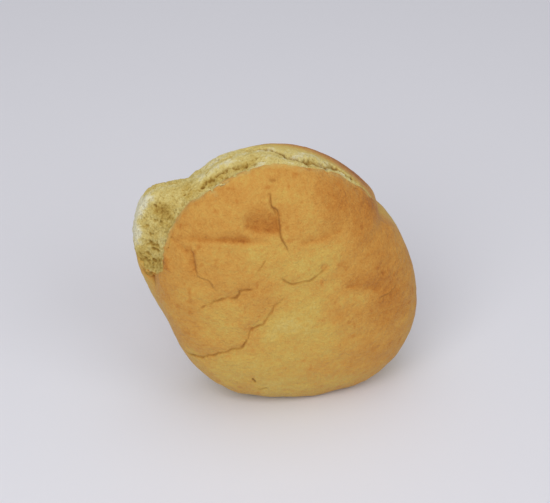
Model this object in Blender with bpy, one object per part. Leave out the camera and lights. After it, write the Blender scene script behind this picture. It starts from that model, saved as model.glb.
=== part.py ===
"""A soft bread roll, torn from its neighbour along its upper left side, standing on its rim.

Frame: metres, +Z up, the origin under the middle of the roll's box, on the surface it rests on.
The domed crown faces -Y and leans back a little, and the flat heel faces +Y.

The roll is shaped lying flat first, in millimetres: +Z is its axis and points out of the crown,
with level 0 at the waist. A turn goes round the axis in degrees, 0 at the right side and 90 at
the side that ends up on top. The finished form is stood on its rim, and a slab trims the soft
flat spot that it rests on.
"""

import math

import bmesh
import bpy
from mathutils import Matrix, Vector

MM = 0.001

# The round outline, and how far it is from a true circle: (lobes, size, turn of a lobe).
ROLL_RADIUS = 50.1
OUT_OF_ROUND = ((2, 3.5, -50.0), (3, 1.0, -31.0), (4, 0.7, -35.0), (5, 0.4, 23.0))

# The cross-section: a domed crown over a flatter heel, both blunter than an ellipse.
CROWN_RISE = 20.5
CROWN_BLUNTNESS = 2.4
HEEL_DROP = 19.0
HEEL_BLUNTNESS = 4.8
HEEL_SHIFT = (0.0, 1.6)

# How the roll stands: its axis points this far above level, and its rim is pressed flat to
# this depth. Part of the depth is squashed up into the roll, and the floor trims the rest.
LEAN_BACK = 9.5
PRESSED_DEPTH = 2.8
SQUASHED_SHARE = 0.5
SQUASHED_HEIGHT = 3.0

# The torn side: levels, depths and widths of what runs along it, and the turns between which
# it shows. The fissure follows a seam, which runs just under the crown's lip at the right and
# drops towards the heel at the left, where a groove and a ridge of crumb come between them.
LIP_LEVEL = 6.9
LIP_OVERHANG = 0.7
GROOVE_LEVEL = 3.0
GROOVE_DEPTH = 2.6
GROOVE_WIDTH = 2.0
GROOVE_TURNS = (98.0, 166.0)
SEAM_LEVELS = (4.2, -6.6)
SEAM_TURNS = (81.0, 100.0)
RIDGE_ABOVE_SEAM = 4.6
RIDGE_HEIGHT = 1.4
RIDGE_WIDTH = 2.4
RIDGE_TURNS = (94.0, 150.0)
FISSURE_DEPTH = 2.8
FISSURE_WIDTH = 1.1
FISSURE_TURNS = (48.0, 96.0)
TURN_BLEND = 14.0

# The lump of a neighbour's crumb that stayed on when the two were pulled apart. It is steep on
# its upper side and tails off along its lower side; its torn face lies under the crown's lip.
LUMP_TURN = 143.0
LUMP_SPAN_ABOVE = 10.0
LUMP_SPAN_BELOW = 28.0
LUMP_REACH = 10.8
LUMP_LEVEL = -6.0
LUMP_FACE_DROP = 6.6
LUMP_UNDERCUT = 9.0
LUMP_BLUNTNESS = 6

# Dents and folds in the crown: (x, y, depth, half-length, half-width, turn of the length).
HOLLOWS = (
    (-11.0, 33.0, 1.6, 7.5, 3.6, -4.0),
    (-22.0, 26.5, 0.7, 11.0, 2.6, -8.0),
    (5.0, 24.0, 0.4, 8.0, 2.4, 0.0),
    (-5.0, 35.0, 0.6, 12.0, 2.6, 99.0),
    (-34.0, 15.0, 0.4, 7.0, 2.4, 115.0),
    (-25.0, 5.0, 0.4, 9.0, 2.4, 20.0),
    (-32.0, -19.0, 0.6, 10.0, 2.6, 12.0),
    (-14.0, -6.0, 0.6, 12.0, 2.8, 50.0),
    (26.0, 2.0, 0.6, 11.0, 3.2, -13.0),
)

# The mesh: its segments round the axis and rings from heel to crown.
SEGMENTS = 104
RINGS = 45
WAIST_CROWDING = 0.30

CRUST_COLOUR = (0.60, 0.32, 0.088, 1.0)
CRUST_ROUGHNESS = 0.62


def remove_everything():
    """Start from an empty file."""
    for thing in list(bpy.data.objects):
        bpy.data.objects.remove(thing, do_unlink=True)


def new_collection(name):
    """A collection linked to the scene."""
    collection = bpy.data.collections.new(name)
    bpy.context.scene.collection.children.link(collection)
    return collection


def crust_material():
    """The browned crust's plain colour."""
    material = bpy.data.materials.new("crust")
    material.use_nodes = True
    shader = material.node_tree.nodes["Principled BSDF"]
    shader.inputs["Base Color"].default_value = CRUST_COLOUR
    shader.inputs["Roughness"].default_value = CRUST_ROUGHNESS
    shader.inputs["Metallic"].default_value = 0.0
    return material


def bell(distance, width):
    """1 at no distance, falling smoothly away past the width."""
    return math.exp(-((distance / width) ** 2))


def ease(share):
    """A smooth step from 0 to 1."""
    share = min(max(share, 0.0), 1.0)
    return share * share * (3.0 - 2.0 * share)


def within(turn, turns):
    """1 between two turns, easing to 0 over the blend beyond them."""
    middle = (turns[0] + turns[1]) / 2
    half = (turns[1] - turns[0]) / 2
    return 1.0 - ease((abs(turn_apart(turn, middle)) - half) / TURN_BLEND + 0.5)


def turn_apart(turn, other):
    """The smaller angle from one turn to another, in degrees."""
    return (turn - other + 180.0) % 360.0 - 180.0


def outline_radius(turn):
    """The uneven round outline at the waist."""
    radius = ROLL_RADIUS
    for lobes, size, lobe_turn in OUT_OF_ROUND:
        radius += size * math.cos(math.radians(lobes * (turn - lobe_turn)))
    return radius


def cross_section(ring_angle):
    """The share of the outline's radius, and the level, at a ring of the ball."""
    angle = ring_angle - WAIST_CROWDING * math.sin(2.0 * ring_angle)
    side = max(math.cos(angle), 0.0)
    rise = math.sin(angle)
    if rise >= 0.0:
        power = 2.0 / CROWN_BLUNTNESS
        return side ** power, CROWN_RISE * rise ** power
    power = 2.0 / HEEL_BLUNTNESS
    return side ** power, -HEEL_DROP * (-rise) ** power


def seam_level(turn):
    """The level where the crumb ends and the heel's crust begins."""
    right, left = SEAM_TURNS
    share = ease((turn - right) / (left - right))
    return SEAM_LEVELS[0] + share * (SEAM_LEVELS[1] - SEAM_LEVELS[0])


def torn_side(turn, level):
    """How far the lip, groove, ridge, fissure and lump move the side out or in."""
    lip = LIP_OVERHANG * bell(level - LIP_LEVEL, GROOVE_WIDTH) * within(turn, GROOVE_TURNS)
    groove = GROOVE_DEPTH * bell(level - GROOVE_LEVEL, GROOVE_WIDTH) * within(turn, GROOVE_TURNS)
    above_seam = level - seam_level(turn)
    ridge = RIDGE_HEIGHT * bell(above_seam - RIDGE_ABOVE_SEAM, RIDGE_WIDTH)
    ridge *= within(turn, RIDGE_TURNS)
    fissure = FISSURE_DEPTH * bell(above_seam, FISSURE_WIDTH) * within(turn, FISSURE_TURNS)
    return lip - groove + ridge - fissure + lump(turn, level)


def lump(turn, level):
    """The torn crumb lump, blunt at its end and thinner than the roll."""
    past = turn_apart(turn, LUMP_TURN)
    along = bell(past, LUMP_SPAN_BELOW if past > 0.0 else LUMP_SPAN_ABOVE)
    above = level - LUMP_LEVEL
    through = above / (LUMP_FACE_DROP if above > 0.0 else LUMP_UNDERCUT)
    return LUMP_REACH * along * math.exp(-through ** LUMP_BLUNTNESS)


def hollows(x, y):
    """The depth of the crown's dents and folds at a place on it."""
    depth = 0.0
    for middle_x, middle_y, deep, half_length, half_width, turn in HOLLOWS:
        cosine = math.cos(math.radians(turn))
        sine = math.sin(math.radians(turn))
        along = (x - middle_x) * cosine + (y - middle_y) * sine
        across = (y - middle_y) * cosine - (x - middle_x) * sine
        depth += deep * bell(along, half_length) * bell(across, half_width)
    return depth


def shaped(direction):
    """The place on the roll, in millimetres, for a point of a unit ball."""
    turn = math.degrees(math.atan2(direction.y, direction.x))
    share, level = cross_section(math.asin(min(max(direction.z, -1.0), 1.0)))
    radius = share * outline_radius(turn) + ease(share) * torn_side(turn, level)
    x = radius * math.cos(math.radians(turn))
    y = radius * math.sin(math.radians(turn))
    heel_share = ease(-level / HEEL_DROP)
    crown_share = ease(level / CROWN_RISE)
    x += heel_share * HEEL_SHIFT[0]
    y += heel_share * HEEL_SHIFT[1]
    return Vector((x, y, level - crown_share * hollows(x, y)))


def stand_up(place):
    """Lying flat to standing on the rim: the crown turns to -Y and looks a little up."""
    return Matrix.Rotation(math.radians(90.0 - LEAN_BACK), 3, "X") @ place


def pressed(places):
    """Set the standing roll on height 0, with its lowest part squashed up a little."""
    floor = min(place.z for place in places) + PRESSED_DEPTH
    for place in places:
        place.z -= floor
        below = max(SQUASHED_HEIGHT - place.z, 0.0) / (SQUASHED_HEIGHT + PRESSED_DEPTH)
        place.z += SQUASHED_SHARE * PRESSED_DEPTH * below ** 2
    return places


def make_roll(collection, material):
    """The whole roll as one closed body, shaped from a ball."""
    body = bmesh.new()
    bmesh.ops.create_uvsphere(body, u_segments=SEGMENTS, v_segments=RINGS, radius=1.0)
    places = pressed([stand_up(shaped(vertex.co)) for vertex in body.verts])
    for vertex, place in zip(body.verts, places):
        vertex.co = place * MM
    bmesh.ops.triangulate(body, faces=body.faces)
    mesh = bpy.data.meshes.new("bread_roll")
    body.to_mesh(mesh)
    body.free()
    mesh.materials.append(material)
    mesh.shade_smooth()
    roll = bpy.data.objects.new("bread_roll", mesh)
    collection.objects.link(roll)
    return roll


def trim_to_floor(roll, cutters):
    """Cut the resting spot level with a slab below height 0."""
    slab_mesh = bpy.data.meshes.new("floor_slab")
    slab_body = bmesh.new()
    bmesh.ops.create_cube(slab_body, size=4.0 * ROLL_RADIUS * MM)
    slab_body.to_mesh(slab_mesh)
    slab_body.free()
    slab = bpy.data.objects.new("floor_slab", slab_mesh)
    slab.location.z = -2.0 * ROLL_RADIUS * MM
    slab.hide_render = True
    slab.display_type = "WIRE"
    cutters.objects.link(slab)
    cut = roll.modifiers.new("resting_spot", "BOOLEAN")
    cut.operation = "DIFFERENCE"
    cut.solver = "EXACT"
    cut.object = slab


def centre_over_origin(roll):
    """Move the roll so that the origin is under the middle of its box."""
    corners = [Vector(corner) for corner in roll.bound_box]
    for axis in (0, 1):
        low = min(corner[axis] for corner in corners)
        high = max(corner[axis] for corner in corners)
        roll.location[axis] = -(low + high) / 2


def main():
    remove_everything()
    parts = new_collection("bread_roll")
    cutters = new_collection("cutters")
    roll = make_roll(parts, crust_material())
    centre_over_origin(roll)
    trim_to_floor(roll, cutters)


main()
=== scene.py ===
"""The dressed bread roll: its crust, and the crumb that shows where it was torn from its neighbour.

Everything is shaped in the roll's own frame, lying flat, in millimetres: +Z is the roll's axis and
points out of the crown, with level 0 at the waist. A turn goes round the axis in degrees, 0 at the
right side and 90 at the side that ends up on top. The finished pieces are stood up in the frame.
"""

import itertools
import math
import random

import bmesh
import bpy
import numpy as np
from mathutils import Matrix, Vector, kdtree


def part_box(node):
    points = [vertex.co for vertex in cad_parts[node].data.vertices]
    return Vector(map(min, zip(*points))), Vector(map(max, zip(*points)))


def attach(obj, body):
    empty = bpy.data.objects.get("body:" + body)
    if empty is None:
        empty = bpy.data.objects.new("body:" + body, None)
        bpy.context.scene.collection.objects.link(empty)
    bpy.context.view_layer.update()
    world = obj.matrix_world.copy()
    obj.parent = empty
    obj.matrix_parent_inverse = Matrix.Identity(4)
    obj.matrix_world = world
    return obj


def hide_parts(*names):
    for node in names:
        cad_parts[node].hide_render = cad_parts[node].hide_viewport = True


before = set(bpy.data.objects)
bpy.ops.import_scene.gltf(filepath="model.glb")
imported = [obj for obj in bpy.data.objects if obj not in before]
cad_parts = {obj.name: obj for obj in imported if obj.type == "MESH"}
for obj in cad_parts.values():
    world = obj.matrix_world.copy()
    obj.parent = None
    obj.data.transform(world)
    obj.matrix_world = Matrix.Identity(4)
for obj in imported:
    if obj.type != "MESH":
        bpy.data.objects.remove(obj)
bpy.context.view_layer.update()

MM = 0.001

# The roll's own frame in its box: the middle as shares of the box, and how far the crown leans.
MIDDLE_IN_BOX = (0.5267, 0.4816, 0.4708)
LEAN_BACK = 9.5

# The levels above which there are cracks and folds, and below which the heel is almost even.
CROWN_LEVEL = 3.0
HEEL_LEVEL = -17.5

# Sizes of the meshes' edges.
EVEN_SIZE = 0.85
CROWN_SIZE = 0.55
EDGE_SIZE = 0.27
CRACK_SIZE = 0.24
CRUMB_SIZE = 0.27

# Where the crumb shows: between the crown's lip and the heel's edge, each as turns and levels
# along it, from one turn on, and up to an end given as levels and turns.
LIP = (
    (40, 5.6), (46, 4.9), (50, 4.4), (52, 3.9), (56, 4.7), (59, 5.0), (62, 4.9), (65, 4.1),
    (68, 4.8), (71.5, 5.7), (74, 5.5), (79, 6.3), (84, 6.8), (88, 6.6), (95, 5.6), (100, 5.0),
    (104, 5.1), (108, 5.0), (113, 4.9), (117, 5.4), (121, 6.6), (125, 5.8), (128, 5.2), (131, 3.6),
    (135, 3.6), (138, 4.3), (142, 5.0), (146, 5.3), (149, 5.2), (153, 5.4), (156, 6.2), (162, 7.6),
    (170, 7.6),
)
HEEL_EDGE = (
    (40, 4.0), (50, 2.0), (54, 0.6), (58, -0.2), (63, -1.6), (68, -2.2), (77, -4.0), (86, -6.0),
    (92, -7.4), (98, -9.4), (104, -11.5), (120, -13.5), (134, -15.0), (170, -15.0),
)
CRUMB_START = 45.0
CRUMB_END = (
    (-13, 160.0), (-5, 161.0), (-2.4, 164.0), (-0.5, 167.2), (2.2, 166.4), (6.9, 163.6), (9, 162.5),
)
MM_A_DEGREE = 0.89

# How far the crust and the crumb lie below the solid's surface, and the crumb more at its lip,
# how far the crust dives under the crumb, how thick the crumb is, and how far it goes under the
# crust and down beneath it.
CRUST_DROP = 0.18
CRUMB_DROP = 0.12
CRUMB_SUNK = 0.15
CRUST_THICKNESS = 2.6
CRUMB_THICKNESS = 4.5
CRUMB_UNDER_CRUST = 2.2
CRUMB_PLUNGE = 2.0

# The solid's own fissure, as turns and levels along it, which is smoothed away for a finer one.
SOLID_FISSURE = ((81, 4.2), (86, 1.8), (90.5, -1.2), (95, -4.2), (100, -6.6))
SOLID_FISSURE_TURNS = (36.0, 108.0)
SOLID_FISSURE_REACH = 4.0
SMOOTHING_ROUNDS = 80

# How far the solid's groove is filled, as turns and depths, and at what level and how widely.
GROOVE_FILL = (
    (43, 0.0), (50, 1.0), (82, 1.1), (90, 0.8), (98, 0.9), (116, 0.8), (122, 0.6), (128, 1.2),
    (132, 2.1), (140, 2.1), (146, 1.8), (151, 1.2), (156, 0.8), (166, 0.6),
)
GROOVE_FILL_LEVEL = 3.4
GROOVE_FILL_WIDTH = 2.8
GROOVE_FILL_TURNS = (42.0, 176.0)

# Where the side is pressed in, or bulges: (turn, level, depth, half-length, half-height).
SIDE_DENTS = (
    (34.4, 0, 3.1, 4.4, 12),
    (27, 0, 0.6, 6, 12),
    (41, -3, -0.5, 3, 8),
    (128, -8, 0.9, 1.8, 5),
    (113, -10, -0.7, 5, 6),
    (194, 2, 1.1, 9, 9),
    (169, -3, -0.6, 4, 5),
)

# The fissure between the crumb and the heel, as turns and levels along it. It is wider near one
# turn and shallower near another.
FISSURE = (
    (50, 3.4), (52.6, 2.4), (54.4, 1.8), (56.2, 1.1), (58.6, 1.4), (60.7, 1.5), (62.6, 0.4),
    (64.6, 0), (66.7, 0), (68.7, 0.6), (71.7, 2.7), (74.2, 2.8), (76.4, 2.3), (78.8, 2.5),
    (81, 2.9), (83.3, 3.2), (84.9, 1.3), (87.7, 0.7), (89.2, -2.0), (91, -3.2), (93, -4.9),
    (94.8, -6.2), (96.6, -7.1), (99, -7.3), (106, -7.6),
)
FISSURE_DEPTH = 1.7
FISSURE_WIDTH = 0.46
FISSURE_WIDE_TURN = 78.0
FISSURE_SHALLOW_TURN = 69.5

# Levels are shrunk to this share where a line's width is measured, so that a line round the side
# is wider in level than it is along the side.
LEVEL_SHARE = 0.45

# The line of holes along the groove, as turns and levels along it, and the crumb's groove and
# ridge.
HOLES = (
    (98, 3.0), (102, 2.3), (106, 1.9), (108, 1.3), (112, 0.3), (116, 0.4), (119, 0.4), (121, 0.2),
    (123, 0), (125, 0.6),
)
HOLES_DEPTH = 0.75
HOLES_WIDTH = 0.34
GROOVE_LEVEL = 1.4
GROOVE_WIDTH = 2.0
GROOVE_TURNS = (96.0, 134.0)
RIDGE_LEVEL = -2.8
RIDGE_WIDTH = 3.2
RIDGE_TURNS = (88.0, 134.0)

# Larger holes torn in the crumb: (turn, level, depth, radius).
LARGE_HOLES = (
    (155.6, 0.6, 1.2, 0.75),
    (157.4, 1.5, 0.9, 0.5),
    (141.0, 0.7, 0.5, 1.6),
    (146.2, 0.5, 0.5, 0.6),
    (120.8, 0.4, 1.2, 0.65),
    (122.7, 0.4, 0.9, 0.5),
    (124.5, 0.9, 0.9, 0.6),
    (131.7, 0.0, 0.7, 0.5),
    (109.7, -6.0, 0.8, 0.6),
    (120.3, -3.7, 0.6, 0.7),
    (102.6, -8.1, 0.5, 0.5),
    (114.7, 2.7, 0.7, 0.45),
    (112.2, 2.9, 0.7, 0.45),
    (150.5, -0.7, 0.6, 0.5),
    (152.2, 0.0, 0.6, 0.5),
    (160.2, 0.2, 0.6, 0.35),
    (161.9, 1.4, 0.6, 0.35),
    (163.6, 0.5, 0.6, 0.4),
    (162.6, -0.9, 0.5, 0.35),
    (165.0, 1.6, 0.5, 0.3),
    (54.8, 1.6, 1.0, 0.6),
)

# Bubbles opened by the tear: (area of crumb for each, radii, how far the middle stands out in
# radii, whether they are only in the holey parts, seed).
BUBBLES = (
    (0.35, (0.15, 0.28), (-0.6, 0.2), False, 62),
    (5.0, (0.28, 0.45), (-0.6, 0.1), True, 64),
    (60.0, (0.45, 0.65), (-0.7, 0.0), True, 66),
)
DEEPEST_BUBBLE = 1.5

# Darker and paler patches on the lump's face, the darker one painted shade of a hollow there:
# (turn, level, radius, amount).
LUMP_PATCHES = ((142.8, -0.2, 2.0, 0.32), (142.4, -3.2, 2.4, -0.35))

# A hollow in the side below the lump: its turn and level, and its half-width and half-height,
# its depth, and the line that runs down from it. Both are also darkened with painted shade.
POCKET = (168.6, 0.6, 1.4, 2.2)
POCKET_DEPTH = 0.8
POCKET_LINE = ((166.4, 1.5), (168.7, 1.7), (170.3, 2.0), (172.1, 2.7), (173.4, 3.6))

# A flake of crust that stands up beside the torn edge there, and the line at its foot, sunk and
# darkened with painted shade.
FLAKE = ((155.6, 8.0), (158.3, 8.4), (161.8, 8.7))
FLAKE_HEIGHT = 0.6
FLAKE_LINE = ((156.2, 6.8), (159, 7.3), (162.2, 7.6))
LINE_DEPTH = 0.6

# Cracks in the crown's crust: (depth, half-width, darkness, step, reach, points along it as x, y).
# The darkness is painted shade in the crack. The step is how far the crust on the right of the way
# along it lies below the crust on the left, and it fades out within the reach.
CRACKS = (
    (0.34, 0.24, 0.64, 0.60, 4.0, ((-7.3, 44.2), (-7.4, 43.4), (-7.6, 41.1), (-7.4, 39.4),
                                   (-6.8, 38.3), (-5.5, 37.1), (-5.0, 35.2), (-4.9, 33), (-4.9, 30.6),
                                   (-5.0, 28.1), (-4.1, 25.5), (-3.3, 23.6), (-2.3, 20.9))),
    (0.30, 0.18, 0.40, 0.0, 1.0, ((-6.8, 38.6), (-6.6, 37.2), (-6.0, 35.6))),
    (0.50, 0.42, 0.85, 0.0, 1.0, ((-7.2, 47.2), (-6.2, 47.1), (-4.6, 47.1))),
    (0.20, 0.27, 0.42, 0.30, 3.0, ((-37.4, 25), (-36.7, 22.5), (-36.5, 20.2), (-36.3, 18),
                                   (-35.9, 15), (-34.9, 14.2), (-33.5, 13.5), (-31.9, 12.7),
                                   (-30.9, 11.1), (-30.3, 10), (-29.6, 8.6))),
    (0.34, 0.27, 0.66, -0.45, 2.5, ((-36.5, 1.0), (-34.9, 1.7), (-33.1, 3.0), (-30.2, 4.2),
                                    (-28, 5.0), (-26.2, 5.7), (-24.5, 5.2), (-22.7, 5.5),
                                    (-21.5, 6.7), (-21.1, 8.3), (-19.3, 8.6), (-17.1, 8.8), (-15.0, 9.2))),
    (0.15, 0.24, 0.38, -0.25, 3.0, ((-16.2, 13.0), (-15.1, 14.3), (-14.3, 15.7), (-12.7, 17.5),
                                    (-11.5, 19), (-10.8, 20.2))),
    (0.30, 0.28, 0.60, -0.45, 3.0, ((-6.6, 12.6), (-5.7, 11.6), (-3.9, 9.9), (-2.1, 9.1), (-0.2, 9.1),
                                    (2, 9.3), (3.9, 9.4), (5.4, 9.8), (6.9, 10.6), (8.5, 11.7),
                                    (10.4, 12.8), (12, 13.2))),
    (0.38, 0.26, 0.70, -0.50, 3.0, ((-42.2, -19), (-41.4, -20), (-40.2, -21.5), (-39, -21.7),
                                    (-37.4, -21.4), (-35, -21.2), (-33.3, -20.4), (-30.9, -19.6),
                                    (-29.4, -18.4), (-26.9, -18), (-24.8, -16.8), (-23, -16.6),
                                    (-21.6, -16.2), (-20.4, -14.4), (-18.9, -11.9), (-18.1, -9.8),
                                    (-17.3, -8.3), (-15.1, -7), (-13.3, -6.3), (-11.7, -4.4),
                                    (-10.9, -2.8), (-9.8, -1.1), (-8.6, 0.8), (-6.7, 2.3), (-5.0, 4.4))),
    (0.60, 0.30, 0.70, 0.10, 2.0, ((-17.5, -31), (-16, -34))),
    (0.45, 0.28, 0.55, 0.10, 2.0, ((-15.5, -37.5), (-13.6, -37.8), (-11.5, -36.8))),
    (0.35, 0.25, 0.45, 0.10, 2.0, ((31.4, -3.2), (32.4, -2.7), (35, -2.3), (36.7, -1.6), (38, -0.5),
                                   (39, 1.2))),
)

# Folds in the crust: (depth, reach on the left of the way along it, reach on its right, browning,
# points along it as x, y). A depth below 0 stands up. The browning is painted shade in the fold, and
# below 0 a painted highlight on a fold that stands up.
FOLDS = (
    (1.45, 5.2, 1.1, 0.32, ((-19.5, 32.6), (-16.6, 31.9), (-14.4, 31.3), (-12.3, 30.9), (-10.2, 30.6),
                            (-8.1, 30.3), (-5.9, 30), (-3.4, 29.9))),
    (1.05, 2.2, 0.45, 0.28, ((-41, 27.5), (-37.1, 27.8), (-33.7, 28), (-30.3, 27.9), (-26.8, 27.8),
                             (-23.4, 27.5), (-19.9, 27.2), (-15.5, 26.6))),
    (0.60, 1.9, 0.45, 0.12, ((-21, 27.3), (-16.3, 26.7), (-12.1, 26.1), (-8, 25.7))),
    (0.55, 2.2, 0.5, 0.14, ((-0.6, 24.8), (1.7, 24.5), (3.9, 24.3), (6.2, 24.1), (7.7, 24.3), (9.2, 24.5),
                            (11.1, 24.9), (13, 25.3), (16.2, 26.2), (19.5, 27.8))),
    (0.60, 3.5, 0.8, 0.14, ((16, 3.4), (17.9, 4), (21.8, 3.9), (27.7, 1.7), (32.9, -0.9))),
    (0.45, 1.8, 0.6, 0.18, ((8.6, 14.7), (10.4, 13.2), (12.4, 14.4))),
    (0.45, 1.6, 0.5, 0.12, ((-44.5, 27.5), (-42, 25.9), (-40.2, 24.2), (-38.5, 22.5))),
    (0.35, 1.0, 0.5, 0.12, ((-41.6, 31), (-38.5, 32.6), (-36.5, 32.8))),
    (0.55, 0.5, 2.2, 0.20, ((-37.2, 27), (-36.7, 22.5), (-36.3, 20), (-36.1, 16), (-35.4, 15))),
    (0.25, 2.0, 0.6, 0.06, ((-13.6, -37.4), (-10.7, -36.1), (-3.2, -36), (4.7, -37.2), (14.6, -38))),
    (-0.30, 0.5, 0.5, -0.10, ((-8.6, 43.5), (-8.8, 40.3), (-7.9, 37.7), (-6.4, 35.3))),
    (-0.40, 0.6, 0.5, -0.10, ((33.5, -2.6), (35.5, -1.8), (37.3, -0.8), (38.5, 0.8))),
    (-0.30, 0.7, 1.5, -0.05, ((-34, 26.6), (-26, 26.2), (-20, 25.2), (-12, 24))),
)

# Dents in the crown beyond those of the solid: (x, y, depth, half-length, half-width, turn).
DENTS = (
    (-30.0, 33.0, 0.5, 7.0, 3.0, 30.0),
    (12.0, 29.0, 0.4, 9.0, 3.0, 15.0),
    (-20.0, 14.0, 0.3, 8.0, 4.0, 60.0),
    (20.0, 12.0, 0.4, 9.0, 4.0, 40.0),
    (-33.0, -6.0, 0.4, 9.0, 4.0, -60.0),
)

# Browning, from 0, pale yellow, to 1, deep orange-brown: of the crown as a whole, of the side,
# how much less it is at the bottom, as painted light thrown up from the floor, and of the heel, and
# where the heel's begins.
CROWN_BROWNING = 0.50
SIDE_BROWNING = 0.34
PAINTED_FLOOR_LIGHT = 0.24
BOTTOM_TURN = -80.0
HEEL_BROWNING = 0.70
HEEL_BROWNING_LEVEL = -13.0

# Patches of browning on the crown: (x, y, half-length, half-width, turn, sharpness, amount).
BROWNING = (
    (4, 15, 13, 7, 10, 4, -0.17),
    (2, 43, 11, 5, 0, 2, -0.12),
    (4, -5, 13, 9, -40, 4, -0.26),
    (22, 0, 7, 3, -10, 2, -0.14),
    (-8, -9, 8, 6, 40, 2, -0.26),
    (-12, 22, 10, 5, 0, 2, -0.14),
    (-26, -4, 12, 9, 0, 4, -0.12),
    (-24, -26, 16, 8, -10, 2, -0.22),
    (0, -38, 30, 6, 0, 2, -0.18),
    (-2, -24, 20, 12, 10, 2, -0.14),
    (28, 30, 17, 11, -45, 2, 0.24),
    (16, 39, 9, 4, -30, 2, 0.12),
    (33, 5, 10, 7, 0, 2, 0.20),
    (19, 3, 5, 3, 0, 2, 0.06),
    (14, -7, 6, 5, 0, 2, 0.10),
    (10, -6, 5, 7, 0, 2, 0.12),
    (-1, 7, 5, 3, 0, 2, -0.10),
    (13, 6, 5, 4, 0, 2, -0.18),
    (33, -12, 7, 8, 0, 2, 0.08),
    (-2, -46, 22, 5, 0, 2, -0.16),
    (36, -6, 8, 9, 0, 2, 0.20),
    (-44, 22, 5, 8, 0, 2, 0.08),
    (-40, -8, 5, 14, 20, 2, 0.02),
    (30, -26, 14, 9, 45, 2, 0.08),
    (36, 15, 6, 5, 70, 2, 0.06),
    (31, 33, 6, 4, -45, 2, 0.16),
)

ROLL_COLLECTION = "bread_roll_visual"


# --- numbers


def ease(share):
    """A smooth step from 0 to 1."""
    share = np.clip(share, 0.0, 1.0)
    return share * share * (3.0 - 2.0 * share)


def bell(distance, width, sharpness=2):
    """1 at no distance, falling smoothly away past the width."""
    return np.exp(-(np.abs(distance / width) ** sharpness))


def seen_along(x, y, middle_x, middle_y, turn):
    """How far places in a plane are from a middle, along a turned line and across it."""
    cosine, sine = math.cos(math.radians(turn)), math.sin(math.radians(turn))
    along = (x - middle_x) * cosine + (y - middle_y) * sine
    across = (y - middle_y) * cosine - (x - middle_x) * sine
    return along, across


def turn_apart(turn, other):
    """The smaller angle from one turn to another, in degrees."""
    return (turn - other + 180.0) % 360.0 - 180.0


def noise(places, size, seed):
    """Smooth noise between -1 and 1, with blobs of about the size."""
    grid = places / size + seed * 7.31
    cell = np.floor(grid).astype(np.int64)
    part = grid - cell
    part = part * part * (3.0 - 2.0 * part)
    total = np.zeros(len(places))
    for corner in itertools.product((0, 1), repeat=3):
        weight = np.ones(len(places))
        mixed = np.full(len(places), seed * 40503 + 11, dtype=np.int64)
        for axis in range(3):
            weight *= part[:, axis] if corner[axis] else 1.0 - part[:, axis]
            mixed = (mixed ^ (cell[:, axis] + corner[axis])) * 2246822519 & 0xFFFFFFFF
            mixed ^= mixed >> 15
        mixed = mixed * 3266489917 & 0xFFFFFFFF
        mixed ^= mixed >> 16
        total += weight * ((mixed & 0xFFFF) / 32767.5 - 1.0)
    return total


def rough(places, size, seed, octaves=3):
    """Noise with finer noise upon it."""
    return sum(noise(places, size / 2**n, seed + n) / 2**n for n in range(octaves))


# --- the roll's own frame

box_low, box_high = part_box("bread_roll")
MIDDLE = np.array(
    [low + share * (high - low) for low, high, share in zip(box_low, box_high, MIDDLE_IN_BOX)]
)
TILT = math.radians(90.0 - LEAN_BACK)
STAND_UP = np.array(
    (
        (1.0, 0.0, 0.0),
        (0.0, math.cos(TILT), -math.sin(TILT)),
        (0.0, math.sin(TILT), math.cos(TILT)),
    )
)


def lay_flat(places):
    """From the frame, in metres, to the roll's own frame."""
    return (places - MIDDLE) / MM @ STAND_UP


def stood_up(places):
    """From the roll's own frame back to the frame, kept inside the solid's box."""
    world = places @ STAND_UP.T * MM + MIDDLE
    return np.clip(world, np.array(box_low), np.array(box_high))


# --- meshes


def coordinates(body):
    """A bmesh's vertices as an array."""
    body.verts.index_update()
    return np.array([vertex.co[:] for vertex in body.verts])


def set_coordinates(body, places):
    """Move a bmesh's vertices."""
    for vertex, place in zip(body.verts, places):
        vertex.co = place


def triangles_of(body):
    """A triangulated bmesh's faces as an array of vertex numbers."""
    return np.array([[vertex.index for vertex in face.verts] for face in body.faces])


def outward_of(places, triangles):
    """Unit normals at the vertices, weighted by area and evened out a little."""
    a, b, c = (places[triangles[:, n]] for n in range(3))
    across = np.cross(b - a, c - a)
    total = np.zeros_like(places)
    for n in range(3):
        np.add.at(total, triangles[:, n], across)
    total /= np.maximum(np.linalg.norm(total, axis=1), 1e-12)[:, None]
    total = relax(total, triangles, 3)
    return total / np.maximum(np.linalg.norm(total, axis=1), 1e-12)[:, None]


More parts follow.
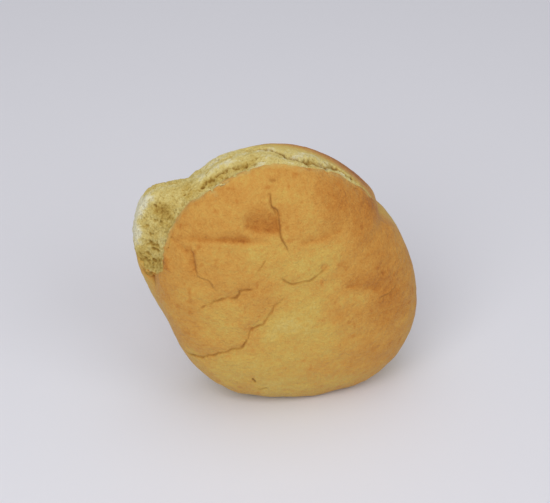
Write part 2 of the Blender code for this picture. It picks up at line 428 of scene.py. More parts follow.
def even_mesh(node, size):
    """The node's surface as an even mesh, in the roll's own frame."""
    mesh = node.data.copy()
    places = np.empty(len(mesh.vertices) * 3)
    mesh.vertices.foreach_get("co", places)
    mesh.vertices.foreach_set("co", lay_flat(places.reshape(-1, 3)).ravel())
    body = bmesh.new()
    body.from_mesh(mesh)
    bmesh.ops.remove_doubles(body, verts=body.verts, dist=0.001)
    body.to_mesh(mesh)
    body.free()
    model = bpy.data.objects.new("even_mesh", mesh)
    bpy.context.scene.collection.objects.link(model)
    remesh = model.modifiers.new("even", "REMESH")
    remesh.mode = "VOXEL"
    remesh.voxel_size = size
    evaluated = model.evaluated_get(bpy.context.evaluated_depsgraph_get())
    body = bmesh.new()
    body.from_mesh(evaluated.to_mesh())
    bpy.data.objects.remove(model)
    bpy.data.meshes.remove(mesh)
    bmesh.ops.triangulate(body, faces=body.faces)
    for _ in range(6):
        bmesh.ops.smooth_vert(
            body, verts=body.verts, factor=0.5, use_axis_x=True, use_axis_y=True, use_axis_z=True
        )
    places, triangles = coordinates(body), triangles_of(body)
    places = relax(places, triangles, SMOOTHING_ROUNDS, held=1.0 - near_solid_fissure(places))
    reach = np.hypot(places[:, 0], places[:, 1])[:, None]
    places[:, :2] += places[:, :2] / np.maximum(reach, 1.0) * bulge_at(places)[:, None]
    set_coordinates(body, places)
    return body


def all_triangles(body):
    """Split the faces that have more than three corners."""
    many = [face for face in body.faces if len(face.verts) > 3]
    bmesh.ops.triangulate(body, faces=many)


def mend(body):
    """Replace the few faces that halving left folded on each other, so the body stays closed."""
    crowded = [edge for edge in body.edges if len(edge.link_faces) > 2]
    folded_faces = dict.fromkeys(face for edge in crowded for face in edge.link_faces)
    bmesh.ops.delete(body, geom=list(folded_faces), context="FACES_ONLY")
    loose = [edge for edge in body.edges if not edge.link_faces]
    bmesh.ops.delete(body, geom=loose, context="EDGES")
    lone = [vertex for vertex in body.verts if not vertex.link_edges]
    bmesh.ops.delete(body, geom=lone, context="VERTS")
    rims = [edge for edge in body.edges if len(edge.link_faces) == 1]
    bmesh.ops.holes_fill(body, edges=rims)
    all_triangles(body)


def refine(body, wanted, passes=4):
    """Halve the edges that are longer than wanted where they are."""
    for _ in range(passes):
        places = coordinates(body)
        sizes = wanted(body, places)
        edges = list(body.edges)
        ends = np.array([(edge.verts[0].index, edge.verts[1].index) for edge in edges])
        lengths = np.linalg.norm(places[ends[:, 0]] - places[ends[:, 1]], axis=1)
        target = np.minimum(sizes[ends[:, 0]], sizes[ends[:, 1]])
        halved = [edges[n] for n in np.nonzero(lengths > 1.45 * target)[0]]
        if not halved:
            return
        bmesh.ops.subdivide_edges(body, edges=halved, cuts=1)
        all_triangles(body)
        mend(body)


def relax(places, triangles, rounds, weight=0.5, held=None):
    """Move each vertex towards the middle of its neighbours."""
    ends = np.vstack((triangles[:, (0, 1)], triangles[:, (1, 2)], triangles[:, (2, 0)]))
    counts = np.bincount(ends[:, 0], minlength=len(places))
    for _ in range(rounds):
        total = np.zeros_like(places)
        for axis in range(3):
            total[:, axis] = np.bincount(ends[:, 0], places[ends[:, 1], axis], len(places))
        step = weight * (total / np.maximum(counts, 1)[:, None] - places)
        if held is not None:
            step *= (1.0 - held)[:, None]
        places = places + step
    return places


def finished(name, body, places, attributes, material):
    """The body as an object in the frame, with its attributes and its material."""
    set_coordinates(body, stood_up(places))
    mesh = bpy.data.meshes.new(name)
    body.to_mesh(mesh)
    body.free()
    for label, values in attributes.items():
        layer = mesh.attributes.new(label, "FLOAT", "POINT")
        layer.data.foreach_set("value", np.asarray(values, dtype=np.float32))
    mesh.materials.append(material)
    mesh.shade_smooth()
    piece = bpy.data.objects.new(name, mesh)
    collection.objects.link(piece)
    return piece


# --- places on the roll


def around(places):
    """The turn of each place, from -180 to 180."""
    return np.degrees(np.arctan2(places[:, 1], places[:, 0]))


def level_of(line, turn):
    """The value of a line at a turn, such as the level of an edge round the roll."""
    return np.interp(turn, [at for at, _ in line], [level for _, level in line])


def near_solid_fissure(places):
    """1 along the solid's own fissure and 0 away from it."""
    turn, level = around(places), places[:, 2]
    first, last = SOLID_FISSURE_TURNS
    near = ease((SOLID_FISSURE_REACH - np.abs(level - level_of(SOLID_FISSURE, turn))) / 1.5)
    return near * ease((turn - first) / 6.0) * ease((last - turn) / 6.0)


def bulge_at(places):
    """How far the side stands out beyond the solid: its groove partly filled, and its dents."""
    turn, level = around(places), places[:, 2]
    first, last = GROOVE_FILL_TURNS
    above = level - GROOVE_FILL_LEVEL - 1.2 * ease((98.0 - turn) / 10.0)
    out = level_of(GROOVE_FILL, turn) * bell(above, GROOVE_FILL_WIDTH)
    out *= ease((turn - first) / 6.0) * ease((last - turn) / 10.0)
    for middle, height, depth, half_length, half_height in SIDE_DENTS:
        side = turn_apart(turn, middle) * MM_A_DEGREE
        out -= depth * bell(side, half_length) * bell(level - height, half_height)
    return out


def torn_band(places):
    """How far a place is below the lip, above the heel's edge, and from the band's two ends."""
    turn, level = around(places), places[:, 2]
    ragged = 0.30 * noise(places, 3.4, 3) + 0.30 * noise(places, 1.3, 4)
    crumbly = 2.6 * ease((turn - 101.0) / 6.0) * ease((127.0 - turn) / 4.0) * noise(places, 1.3, 8)
    crumbly += 1.1 * ease((turn - 148.0) / 4.0) * noise(places, 0.9, 8)
    teeth = 0.9 * noise(places, 1.9, 5) + 0.9 * noise(places, 0.9, 6)
    below_lip = level_of(LIP, turn) - level + ragged + crumbly
    above_heel = level - level_of(HEEL_EDGE, turn) + 2.0 * ragged
    past_right = (turn - CRUMB_START) * MM_A_DEGREE + ragged
    before_left = (level_of(CRUMB_END, level) - turn) * MM_A_DEGREE + teeth
    return below_lip, above_heel, past_right, before_left


def into_crumb(places):
    """How far inside the crumb a place is, in millimetres, and less than 0 in the crust."""
    return np.minimum.reduce(torn_band(places))


def bareness(places, start):
    """0 in browned crust and 1 in crumb: sharp at the lip, and slowly paler from the heel."""
    below_lip, above_heel, past_right, before_left = torn_band(places)
    edge = np.minimum(below_lip, before_left)
    sharp = ease((edge - start + 0.25) / 0.5)
    soft = 0.45 * ease((edge + 2.4) / 2.4) * ease(0.5 + 0.9 * noise(places, 2.2, 7))
    pale = np.maximum(sharp, soft * ease((158.0 - around(places)) / 5.0))
    return pale * ease((above_heel + 1.8) / 3.6) * ease((past_right + 7.0) / 9.0)


def from_route(points, x, y):
    """The distance from a route in a plane, less than 0 on its right, and the share along it."""
    nearest = np.full(len(x), 1e9)
    side = np.ones(len(x))
    along = np.zeros(len(x))
    lengths = [math.dist(a, b) for a, b in zip(points, points[1:])]
    whole, gone = sum(lengths), 0.0
    for (ax, ay), (bx, by), length in zip(points, points[1:], lengths):
        part = ((x - ax) * (bx - ax) + (y - ay) * (by - ay)) / length**2
        part = np.clip(part, 0.0, 1.0)
        distance = np.hypot(x - ax - part * (bx - ax), y - ay - part * (by - ay))
        closer = distance < nearest
        nearest = np.where(closer, distance, nearest)
        left = (bx - ax) * (y - ay) - (by - ay) * (x - ax)
        side = np.where(closer, np.where(left < 0.0, -1.0, 1.0), side)
        along = np.where(closer, (gone + part * length) / whole, along)
        gone += length
    return nearest * side, along


def wandering(places):
    """Places on the crown, moved a little so that a route through them wanders."""
    x = places[:, 0] + 0.25 * noise(places, 2.4, 21) + 0.22 * noise(places, 1.0, 22)
    y = places[:, 1] + 0.25 * noise(places, 2.4, 23) + 0.22 * noise(places, 1.0, 24)
    return x, y


def on_crown(places):
    """0 below the crown's edge and 1 on the crown."""
    return ease((places[:, 2] - CROWN_LEVEL) / 2.0)


def crack_distance(places):
    """The distance to the nearest crack, for finer edges there."""
    x, y = wandering(places)
    nearest = np.full(len(places), 1e9)
    for *_, route in CRACKS:
        nearest = np.minimum(nearest, np.abs(from_route(route, x, y)[0]))
    return np.where(places[:, 2] > CROWN_LEVEL, nearest, 1e9)


def cracked(places):
    """The depth of the cracks at each place, and the shade painted into them."""
    x, y = wandering(places)
    line_depth, crack_shade = np.zeros(len(places)), np.zeros(len(places))
    steps = np.zeros(len(places))
    for deep, half_width, darkness, step, reach, route in CRACKS:
        distance, along = from_route(route, x, y)
        ends = ease(along / 0.12) * ease((1.0 - along) / 0.12) * 0.85 + 0.15
        uneven = np.clip(0.85 + 0.55 * noise(places, 2.6, 25), 0.45, 1.25)
        line = bell(distance, half_width * (0.8 + 0.5 * uneven))
        line_depth = np.maximum(line_depth, ends * uneven * deep * line)
        crack_shade = np.maximum(crack_shade, ends * uneven * darkness * line)
        lower = ease(0.5 - distance * math.copysign(1.0, step) / (2.0 * half_width))
        steps += ends * abs(step) * lower * bell(distance, reach)
    crown = on_crown(places)
    return crown * (line_depth + steps), crown * crack_shade


def folded(places):
    """The depth of the folds at each place, and the shade painted into them as browning."""
    x, y = wandering(places)
    depth, brown = np.zeros(len(places)), np.zeros(len(places))
    for deep, reach_left, reach_right, browning, route in FOLDS:
        distance, along = from_route(route, x, y)
        ends = ease(along / 0.28) * ease((1.0 - along) / 0.18)
        reach = np.where(distance > 0.0, reach_left, reach_right)
        shape = ends * bell(distance, reach, 1.4) * (1.0 + 0.25 * noise(places, 3.0, 38))
        depth += deep * shape
        brown += browning * shape
    crown = on_crown(places)
    return crown * depth, crown * brown


def dents(places):
    """The depth of the crown's extra dents."""
    x, y, level = places.T
    depth = np.zeros(len(places))
    for middle_x, middle_y, deep, half_length, half_width, turn in DENTS:
        along, across = seen_along(x, y, middle_x, middle_y, turn)
        depth += deep * bell(along, half_length) * bell(across, half_width)
    return depth * ease((level - 4.0) / 4.0)


def torn_line(places, route, width, ends, ragged=1.0):
    """How near a place is to a ragged line round the side: 1 on it and 0 away from it."""
    side = 0.30 * noise(places, 2.2, 26) + 0.25 * noise(places, 0.9, 27)
    height = 0.40 * noise(places, 2.6, 28) + 0.45 * noise(places, 1.0, 29)
    side = around(places) * MM_A_DEGREE + ragged * side
    height = places[:, 2] + ragged * height
    route = [(at * MM_A_DEGREE, up * LEVEL_SHARE) for at, up in route]
    distance, along = from_route(route, side, height * LEVEL_SHARE)
    width = width * (1.0 + 0.4 * noise(places, 1.8, 30))
    open_part = ease(along / ends[0]) * ease((1.0 - along) / ends[1])
    return bell(distance, np.maximum(width, 0.2)) * open_part


def large_holes(places):
    """The depth of the larger holes torn in the crumb."""
    side = around(places) + 0.6 * noise(places, 1.1, 51)
    level = places[:, 2] + 0.7 * noise(places, 1.1, 52)
    depth = np.zeros(len(places))
    for turn, height, deep, radius in LARGE_HOLES:
        away = np.hypot(turn_apart(side, turn) * MM_A_DEGREE * 0.8, (level - height) * 0.8)
        depth = np.maximum(depth, deep * bell(away, radius, 3))
    return depth


# --- the crust


def crust_sizes(body, places):
    """Finer edges on the crown, along the torn edge and along the cracks."""
    sizes = np.where(places[:, 2] > 5.0, CROWN_SIZE, EVEN_SIZE)
    inside = into_crumb(places)
    sizes = np.where(np.abs(inside) < 1.0, EDGE_SIZE, sizes)
    sizes = np.where(inside > 1.0, 2.0 * EVEN_SIZE, sizes)
    return np.where(crack_distance(places) < 0.9, CRACK_SIZE, sizes)


def browning_at(places):
    """How brown the crust is, from 0, pale yellow, to 1, deep orange-brown."""
    x, y, level = places.T
    crown = np.full(len(places), CROWN_BROWNING)
    for patch_x, patch_y, half_length, half_width, turn, sharpness, amount in BROWNING:
        along, across = seen_along(x, y, patch_x, patch_y, turn)
        reach = np.hypot(along / half_length, across / half_width)
        crown += amount * bell(reach, 1.0, sharpness)
    turn = around(places)
    # The side is paler towards the bottom, as painted light thrown up from the floor.
    side = SIDE_BROWNING - PAINTED_FLOOR_LIGHT * bell(turn_apart(turn, BOTTOM_TURN), 60.0)
    heel = HEEL_BROWNING + 0.10 * rough(places, 22.0, 31, 2)
    top_seam = ease((turn - 35.0) / 15.0) * ease((165.0 - turn) / 15.0)
    below_edge = level_of(HEEL_EDGE, turn) - level
    heel_side = 0.10 + 0.75 * ease((below_edge + 1.0) / 9.0)
    heel_side += 0.08 * ease((76.0 - turn) / 16.0) * ease((below_edge + 2.0) / 3.0)
    side = side * (1.0 - top_seam) + heel_side * top_seam
    value = crown + (side - crown) * ease((6.0 - level) / 10.0)
    value = value + (heel - value) * ease((HEEL_BROWNING_LEVEL - level) / 5.0)
    freckles = ease((noise(places, 2.4, 36) - 0.55) / 0.25) * ease((level - 4.0) / 4.0)
    return value + 0.07 * rough(places, 9.0, 33, 3) + 0.16 * freckles


def pocket(places):
    """The hollow in the side just below the torn lump, and its line: 1 in their middles."""
    side = turn_apart(around(places), POCKET[0]) * MM_A_DEGREE
    hollow = bell(np.hypot(side / POCKET[2], (places[:, 2] - POCKET[1]) / POCKET[3]), 1.0)
    line = torn_line(places, POCKET_LINE, 0.30, (0.1, 0.4), 0.5)
    return hollow, line


def make_crust(material):
    """The whole crust, sunk where the crumb covers it."""
    body = even_mesh(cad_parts["bread_roll"], EVEN_SIZE)
    refine(body, crust_sizes)
    places, triangles = coordinates(body), triangles_of(body)
    places = relax(places, triangles, 3)
    outward = outward_of(places, triangles)
    inside = into_crumb(places)
    crack_depth, crack_shade = cracked(places)
    fold_depth, fold_shade = folded(places)
    hollow, line = pocket(places)
    flake = torn_line(places, FLAKE, 0.45, (0.15, 0.15), 0.4)
    line = np.maximum(line, torn_line(places, FLAKE_LINE, 0.22, (0.1, 0.1), 0.4))
    sunk = CRUST_THICKNESS * ease(inside / 0.5)
    skin = 0.12 * rough(places, 5.0, 41, 3) + 0.07 * noise(places, 1.6, 44)
    wrinkle = 0.26 * rough(places * (1.0, 1.5, 1.0), 8.0, 45, 2) + 0.08 * noise(places, 2.8, 48)
    wrinkle *= ease((places[:, 2] - 2.0) / 6.0)
    relief = (skin + wrinkle) * (1.0 - ease(inside + 1.0))
    out = relief - CRUST_DROP - sunk - crack_depth - fold_depth - dents(places)
    out += FLAKE_HEIGHT * flake - POCKET_DEPTH * hollow - LINE_DEPTH * line
    out = np.where(places[:, 2] < HEEL_LEVEL, out * 0.6, out)
    attributes = {
        # The pocket's and the folds' browning is painted shade, and paler on folds that stand up as a
        # painted highlight; the flake's browning is its own colour.
        "browning": browning_at(places) + 0.35 * hollow + 0.24 * flake + fold_shade,
        "bare": bareness(places, 0.9),
        "ochre": np.full(len(places), 0.55),
        # Painted shade in the cracks, in the pocket, and along the lines at the flake's foot and down from
        # the pocket.
        "painted_shade": np.clip(crack_shade + 0.20 * hollow + 0.75 * line, 0.0, 1.0),
    }
    return finished("roll_crust", body, places + outward * out[:, None], attributes, material)


# --- the crumb


def crumb_sizes(body, places):
    """Fine edges on the torn face and coarse ones beneath it."""
    under = body.verts.layers.float["under"]
    beneath = np.array([vertex[under] for vertex in body.verts])
    return np.where(beneath < 0.5, CRUMB_SIZE, 10.0)


def bubbles(tree, places, outward, chosen, radii, lift, seed):
    """The depth of round bubbles, opened by the tear, at each place."""
    pick = random.Random(seed)
    depth = np.zeros(len(places))
    for number in chosen:
        radius = pick.uniform(*radii)
        centre = places[number] + outward[number] * radius * pick.uniform(*lift)
        near = [found[1] for found in tree.find_range(Vector(centre), radius)]
        if not near:
            continue
        offset = places[near] - centre
        rise = offset @ outward[number]
        across = np.maximum((offset**2).sum(axis=1) - rise**2, 0.0)
        drop = rise + np.sqrt(np.maximum(radius**2 - across, 0.0))
        depth[near] = np.maximum(depth[near], drop)
    return depth


def some_of(candidates, count, seed):
    """A seeded choice of vertices."""
    pick = random.Random(seed)
    return [candidates[pick.randrange(len(candidates))] for _ in range(count)]


def torn_face():
    """The torn part of the even mesh, as places, triangles, and normals at the places."""
    body = even_mesh(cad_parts["bread_roll"], EVEN_SIZE)
    outside = into_crumb(coordinates(body)) < -CRUMB_UNDER_CRUST
    spare = [vertex for vertex, away in zip(body.verts, outside) if away]
    bmesh.ops.delete(body, geom=spare, context="VERTS")
    lone = [vertex for vertex in body.verts if not vertex.link_faces]
    bmesh.ops.delete(body, geom=lone, context="VERTS")
    places, triangles = coordinates(body), triangles_of(body)
    body.free()
    return places, triangles, outward_of(places, triangles)


def crumb_slab():
    """The torn face with a back and sides, and which of its vertices are at the back."""
    places, triangles, outward = torn_face()
    count = len(places)
    back = places - outward * CRUMB_THICKNESS
    body = bmesh.new()
    under = body.verts.layers.float.new("under")
    corners = [body.verts.new(place) for place in np.vstack((back, places))]
    for corner in corners[:count]:
        corner[under] = 1.0
    ends = np.vstack((triangles[:, (0, 1)], triangles[:, (1, 2)], triangles[:, (2, 0)])).tolist()
    shared = {(end, start) for start, end in ends}
    sides = [(b + count, a + count, a, b) for a, b in ends if (a, b) not in shared]
    for face in (triangles + count).tolist() + triangles[:, ::-1].tolist() + sides:
        body.faces.new([corners[number] for number in face])
    all_triangles(body)
    refine(body, crumb_sizes)
    return body, np.array([vertex[under] for vertex in body.verts])


def reach_at(turn, radius):
    """The roll's greatest radius at each turn."""
    whole = np.floor(turn).astype(int)
    turns = np.arange(whole.min(), whole.max() + 1)
    reaches = np.zeros(len(turns))
    np.maximum.at(reaches, whole - whole.min(), radius)
    return np.interp(turn, turns + 0.5, reaches)


def crumb_forms(places):
    """How much each place is on the lump, its rim, the groove and the ridge."""
    turn, level = around(places), places[:, 2]
    lump = ease((turn - 122.0) / 12.0) * ease((level + 12.0) / 3.0)
    radius = np.hypot(places[:, 0], places[:, 1])
    rim = lump * ease((radius - reach_at(turn, radius) + 3.6) / 3.0) * ease((turn - 132.0) / 8.0)
    rim *= ease((166.0 - turn) / 12.0)
    groove = bell(level - GROOVE_LEVEL, GROOVE_WIDTH) * ease((turn - GROOVE_TURNS[0]) / 12.0)
    groove *= ease((GROOVE_TURNS[1] - turn) / 10.0)
    ridge = bell(level - RIDGE_LEVEL, RIDGE_WIDTH) * ease((turn - RIDGE_TURNS[0]) / 10.0)
    ridge *= ease((RIDGE_TURNS[1] - turn) / 14.0)
    return lump, rim, groove, ridge


def opened_bubbles(places, outward, shown, airy, holey):
    """The depth of the opened bubbles: small ones in airy crumb, and larger ones in holey crumb."""
    warped = places * (1.0, 0.6, 1.0)
    for axis in range(3):
        warped[:, axis] += 0.28 * noise(places, 1.1, 71 + axis)
    tree = kdtree.KDTree(len(warped))
    for number, place in enumerate(warped):
        tree.insert(place, number)
    tree.balance()
    area = len(shown) * CRUMB_SIZE**2 * 0.8
    pick = random.Random(61)
    in_airy = [n for n in shown if pick.random() < airy[n]]
    in_holey = [n for n in in_airy if pick.random() < holey[n]]
    depth = np.zeros(len(places))
    for area_each, radii, lift, only_holey, seed in BUBBLES:
        chosen = some_of(in_holey if only_holey else in_airy, int(area / area_each), seed)
        depth = np.maximum(depth, bubbles(tree, warped, outward, chosen, radii, lift, seed + 1))
    return np.minimum(depth, DEEPEST_BUBBLE)


def torn_open(places):
    """The fissure, the line of holes and the larger holes at each place."""
    turn = around(places)
    width = FISSURE_WIDTH * (0.75 + 0.75 * bell(turn - FISSURE_WIDE_TURN, 12.0, 4))
    fissure = torn_line(places, FISSURE, width, (0.04, 0.35))
    fissure *= 1.0 - 0.45 * bell(turn - FISSURE_SHALLOW_TURN, 2.5)
    holes = torn_line(places, HOLES, HOLES_WIDTH, (0.2, 0.2)) * ease(noise(places, 1.7, 53) + 0.6)
    return fissure, holes, large_holes(places)


def lump_shade_patches(places):
    """How much darker or paler the patches on the lump's face are: the darker one is painted shade of a
    hollow.
    """
    turn, level = around(places), places[:, 2]
    return sum(
        amount * bell(np.hypot((turn - middle) * MM_A_DEGREE, level - height), radius, 3)
        for middle, height, radius, amount in LUMP_PATCHES
    )


def make_crumb(material):
    """The torn crumb, as one closed piece that reaches under the crust's edge."""
    body, beneath = crumb_slab()
    places, triangles = coordinates(body), triangles_of(body)
    top = np.where(beneath < 0.01, 1.0, 0.0)
    places = relax(places, triangles, 2, held=1.0 - top)
    outward = outward_of(places, triangles)
    below_lip, above_heel, *_ = torn_band(places)
    inside = into_crumb(places)
    lump, rim, groove, ridge = crumb_forms(places)

    airy = np.clip(0.25 + 0.35 * lump + 0.55 * groove - 0.20 * ridge, 0.04, 1.0) * (1.0 - 0.7 * rim)
    airy *= ease((above_heel - 0.5) / 2.0)
    holey = 0.15 + 0.85 * np.maximum(lump * 0.7, groove)
    shown = np.nonzero((top > 0.5) & (inside > -0.4))[0]
    depth = opened_bubbles(places, outward, shown, airy, holey) * top * ease((inside + 0.4) / 0.5)
    fissure, holes, large = (opening * top for opening in torn_open(places))

    fibres = noise(places * (1.0, 0.45, 1.0), 0.75, 74) + 0.6 * noise(places, 0.5, 75)
    lumps = rough(places, 4.5, 76, 3)
    relief = (0.21 * fibres + 0.45 * lumps * (0.75 + 0.25 * lump)) * (1.0 - 0.4 * rim)
    relief *= ease((above_heel + 0.3) / 2.0)
    plunge = (CRUMB_PLUNGE + pocket(places)[0]) * ease((-0.05 - inside) / 0.9)
    lowered = CRUMB_SUNK * ease((3.0 - below_lip) / 2.0)
    bulge = 0.35 * ridge - 0.4 * groove
    out = top * (relief + bulge - lowered - plunge - CRUMB_DROP) - depth
    out -= FISSURE_DEPTH * fissure + HOLES_DEPTH * holes + large
    shaped = places + outward * out[:, None]

    # How far each place lies below its neighbours, for the shade painted into the pores and hollows.
    hollow = ((relax(shaped, triangles, 8) - shaped) * outward).sum(axis=1) / 0.72
    shade_patches = lump_shade_patches(places)
    turn = around(places)
    # The crumb's ochre tone: darker in the groove and in the larger holes as painted shade, and paler on
    # the ridge as a painted highlight.
    ochre = 0.38 + 0.14 * lump + 0.38 * groove - 0.10 * ridge
    ochre += 0.26 * rough(places * (0.6, 0.8, 1.0), 3.0, 77, 3) + shade_patches
    ochre += 0.22 * lump * ease((turn - 154.0) / 8.0) + 0.55 * np.minimum(large, 1.0)
    ochre -= 0.52 * rim * ease((turn - 138.0) / 8.0)
    # Painted shade in the pores and hollows, in the fissure, in the line of holes, and on the darker patch
    # of the lump.
    painted_shade = hollow + fissure + 0.4 * holes + 0.5 * np.maximum(shade_patches, 0.0)
    attributes = {
        "browning": browning_at(places),
        "bare": bareness(places, 0.0),
        "ochre": np.clip(ochre, 0.0, 1.0),
        "painted_shade": np.clip(painted_shade, 0.0, 1.0),
    }
    return finished("torn_crumb", body, shaped, attributes, material)


# --- materials


def new_material(name):
    """A material, its node tree and its Principled shader."""
    material = bpy.data.materials.new(name)
    material.use_nodes = True
    tree = material.node_tree
    return material, tree, tree.nodes["Principled BSDF"]


def add(tree, kind, **settings):
    """A new node with some of its settings."""
    node = tree.nodes.new(kind)
    for label, value in settings.items():
        if label in node.inputs:
            node.inputs[label].default_value = value
        else:
            setattr(node, label, value)
    return node


def linear(red, green, blue):
    """A display colour of 0 to 255 as linear numbers."""
    def one(value):
        value /= 255.0
        return value / 12.92 if value <= 0.04045 else ((value + 0.055) / 1.055) ** 2.4

    return one(red), one(green), one(blue), 1.0


def ramp(tree, stops):
    """A colour ramp through display colours at their places."""
    node = tree.nodes.new("ShaderNodeValToRGB")
    elements = node.color_ramp.elements
    while len(elements) < len(stops):
        elements.new(0.5)
    for element, (place, colour) in zip(elements, stops):
        element.position = place
        element.color = linear(*colour)
    return node


def attribute(tree, name):
    """The value stored at the vertices."""
    return add(tree, "ShaderNodeAttribute", attribute_name=name).outputs["Fac"]


def sum_of(tree, first, second, factor):
    """first + second x factor."""
    node = add(tree, "ShaderNodeMath", operation="MULTIPLY_ADD")
    tree.links.new(second, node.inputs[0])
    node.inputs[1].default_value = factor
    tree.links.new(first, node.inputs[2])
    return node.outputs["Value"]


def grain(tree, size, detail=3.0, roughness=0.55):
    """Noise in the object's own space, from -0.5 to 0.5, with blobs of about the size in mm."""
    where = tree.nodes.new("ShaderNodeTexCoord")
    texture = add(tree, "ShaderNodeTexNoise", Scale=1.0 / (size * MM), Detail=detail, Roughness=roughness)
    tree.links.new(where.outputs["Object"], texture.inputs["Vector"])
    middle = add(tree, "ShaderNodeMath", operation="SUBTRACT")
    tree.links.new(texture.outputs["Fac"], middle.inputs[0])
    middle.inputs[1].default_value = 0.5
    return middle.outputs["Value"]


def mixed(tree, kind, share, first, second):
    """Two colours mixed; each may be a socket or a colour."""
    node = add(tree, "ShaderNodeMix", data_type="RGBA", blend_type=kind)
    for socket, value in ((node.inputs[0], share), (node.inputs[6], first), (node.inputs[7], second)):
        if hasattr(value, "is_output"):
            tree.links.new(value, socket)
        else:
            socket.default_value = value
    return node.outputs[2]


def bumped(tree, height, strength, distance):
    """A bump from a height, as high as a distance in millimetres."""
    node = add(tree, "ShaderNodeBump", Strength=strength, Distance=distance * MM)
    tree.links.new(height, node.inputs["Height"])
    return node.outputs["Normal"]


CRUST_STOPS = (
    (0.0, (216, 193, 114)),
    (0.25, (210, 175, 87)),
    (0.5, (207, 153, 72)),
    (0.75, (193, 129, 53)),
    (1.0, (165, 98, 34)),
)
CRUMB_STOPS = (
    (0.0, (226, 221, 190)),
    (0.35, (217, 200, 130)),
    (0.75, (198, 171, 92)),
    (1.0, (170, 138, 66)),
)
# Painted shade colours: the crust's in its cracks, pocket and lines, the crumb's in its pores, holes and
# fissure.
CRUST_SHADE_COLOUR = (152, 98, 34)
CRUMB_SHADE_COLOUR = (146, 107, 36)
SPECULAR = 0.15
SHEEN = 0.09
SHEEN_TINT = (0.6, 0.9, 1.0, 1.0)

# The bumps' strengths, and their heights in millimetres.
CRUST_BUMP = (1.0, 0.75)
CRUMB_BUMP = (0.7, 0.30)


def bread_colour(tree, mottle):
    """Browned crust and cream crumb, mixed where the crust is thin, and darkened with painted shade in the
    cracks, hollows and pores.
    """
    value = sum_of(tree, attribute(tree, "browning"), grain(tree, 6.0), 0.26)
    value = sum_of(tree, value, grain(tree, 1.8, 3.0, 0.6), 0.40)
    value = sum_of(tree, value, grain(tree, 0.7, 2.0, 0.6), 0.40)
    baked = ramp(tree, CRUST_STOPS)
    tree.links.new(value, baked.inputs["Fac"])
    baked = mixed(tree, "MIX", attribute(tree, "painted_shade"), baked.outputs["Color"], linear(*CRUST_SHADE_COLOUR))
    value = sum_of(tree, attribute(tree, "ochre"), grain(tree, 1.0, 4.0, 0.65), mottle)
    cream = ramp(tree, CRUMB_STOPS)
    tree.links.new(value, cream.inputs["Fac"])
    crumb = mixed(tree, "MIX", attribute(tree, "painted_shade"), cream.outputs["Color"], linear(*CRUMB_SHADE_COLOUR))
    return mixed(tree, "MIX", attribute(tree, "bare"), baked, crumb)


def ranged(tree, value, low, high):
    """A value from -0.25 to 0.25 spread between two others."""
    node = add(tree, "ShaderNodeMapRange")
    tree.links.new(value, node.inputs["Value"])
    for label, number in (("From Min", -0.25), ("From Max", 0.25), ("To Min", low), ("To Max", high)):
        node.inputs[label].default_value = number
    return node.outputs["Result"]


def crust_material():
    """Thin baked crust: its browning, fine mottle and pits, with painted shade in the cracks."""
    material, tree, shader = new_material("crust_visual")
    tree.links.new(bread_colour(tree, 0.5), shader.inputs["Base Color"])
    tree.links.new(ranged(tree, grain(tree, 2.5), 0.60, 0.78), shader.inputs["Roughness"])
    height = sum_of(tree, grain(tree, 2.2, 4.0, 0.6), grain(tree, 0.8, 2.0), 0.5)
    tree.links.new(bumped(tree, height, *CRUST_BUMP), shader.inputs["Normal"])
    shader.inputs["Specular IOR Level"].default_value = SPECULAR
    shader.inputs["Sheen Weight"].default_value = SHEEN
    shader.inputs["Sheen Tint"].default_value = SHEEN_TINT
    shader.inputs["Metallic"].default_value = 0.0
    return material


def crumb_material():
    """Torn airy crumb: cream, ochre with painted shade in its hollows, rough at every scale."""
    material, tree, shader = new_material("crumb_visual")
    tree.links.new(bread_colour(tree, 0.8), shader.inputs["Base Color"])
    tree.links.new(ranged(tree, grain(tree, 1.0), 0.80, 0.95), shader.inputs["Roughness"])
    height = sum_of(tree, grain(tree, 0.5, 4.0, 0.7), grain(tree, 1.5, 3.0), 0.8)
    tree.links.new(bumped(tree, height, *CRUMB_BUMP), shader.inputs["Normal"])
    shader.inputs["Specular IOR Level"].default_value = SPECULAR
    shader.inputs["Metallic"].default_value = 0.0
    return material


def plain_material(name, colour, roughness):
    """One even colour, for the floor."""
    material, _, shader = new_material(name)
    shader.inputs["Base Color"].default_value = colour
    shader.inputs["Roughness"].default_value = roughness
    shader.inputs["Specular IOR Level"].default_value = 0.2
    return material


# --- floor, light and camera

CAMERA_AZIMUTH = -12.0
CAMERA_HEIGHT = 36.5
CAMERA_DISTANCE = 0.70
CAMERA_LENS = 122.3
AIM_LEFT = 0.00435
AIM_ABOVE = 0.0110

# Square lights: (name, azimuth, elevation, distance, size, power).
LIGHTS = (
    ("front_left", -36.0, 45.0, 0.95, 0.6, 3.6),
    ("front_right", 36.0, 41.0, 1.0, 0.6, 1.75),
    ("above", 175.0, 82.0, 0.80, 0.6, 1.1),
)
SURROUND_COLOUR = (225, 225, 231)
SURROUND_STRENGTH = 0.50
FLOOR_COLOUR = (232, 232, 237)
FLOOR_RADIUS = 6.0


def direction(azimuth, elevation):
    """The unit vector from the roll towards an azimuth and elevation, in degrees."""
    a, e = math.radians(azimuth), math.radians(elevation)
    return Vector((math.sin(a) * math.cos(e), -math.cos(a) * math.cos(e), math.sin(e)))


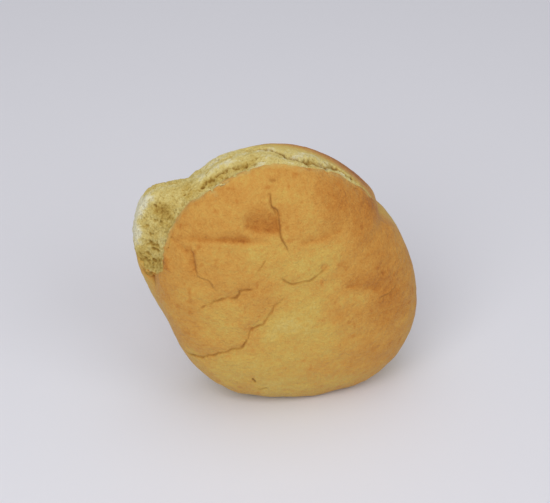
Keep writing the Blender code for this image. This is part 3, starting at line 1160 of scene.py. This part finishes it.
def make_camera():
    """The camera, aimed a little above and left of the roll's middle."""
    back = direction(CAMERA_AZIMUTH, CAMERA_HEIGHT)
    right = Vector((math.cos(math.radians(CAMERA_AZIMUTH)), math.sin(math.radians(CAMERA_AZIMUTH)), 0.0))
    above = back.cross(right)
    aim = Vector(MIDDLE) - right * AIM_LEFT + above * AIM_ABOVE
    data = bpy.data.cameras.new("camera")
    data.lens = CAMERA_LENS
    data.clip_start, data.clip_end = 0.05, 20.0
    camera = bpy.data.objects.new("camera", data)
    camera.location = aim + back * CAMERA_DISTANCE
    camera.rotation_mode = "QUATERNION"
    camera.rotation_quaternion = (-back).to_track_quat("-Z", "Y")
    bpy.context.scene.collection.objects.link(camera)
    bpy.context.scene.camera = camera


def make_light(name, azimuth, elevation, distance, size, power):
    """A large soft square light, turned to the roll."""
    data = bpy.data.lights.new(name, "AREA")
    data.size, data.energy = size, power
    light = bpy.data.objects.new(name, data)
    towards = direction(azimuth, elevation)
    light.location = Vector(MIDDLE) + towards * distance
    light.rotation_mode = "QUATERNION"
    light.rotation_quaternion = (-towards).to_track_quat("-Z", "Y")
    bpy.context.scene.collection.objects.link(light)


def make_floor():
    """A wide pale floor."""
    mesh = bpy.data.meshes.new("floor")
    body = bmesh.new()
    bmesh.ops.create_circle(body, cap_ends=True, segments=96, radius=FLOOR_RADIUS)
    body.to_mesh(mesh)
    body.free()
    mesh.materials.append(plain_material("pale_floor", linear(*FLOOR_COLOUR), 0.7))
    floor = bpy.data.objects.new("floor", mesh)
    bpy.context.scene.collection.objects.link(floor)


def make_world():
    """An even pale surround."""
    world = bpy.data.worlds.new("surround")
    world.use_nodes = True
    background = world.node_tree.nodes["Background"]
    background.inputs["Color"].default_value = linear(*SURROUND_COLOUR)
    background.inputs["Strength"].default_value = SURROUND_STRENGTH
    bpy.context.scene.world = world


# --- everything

collection = bpy.data.collections.new(ROLL_COLLECTION)
bpy.context.scene.collection.children.link(collection)
bpy.context.scene.view_settings.view_transform = "Standard"

make_camera()
make_floor()
make_world()
for light in LIGHTS:
    make_light(*light)

crust = make_crust(crust_material())
crumb = make_crumb(crumb_material())
for piece, slot in ((crust, "crust"), (crumb, "crumb")):
    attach(piece, "root")
    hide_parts("bread_roll")
    print(piece.name, len(piece.data.vertices), "vertices", len(piece.data.polygons), "faces")
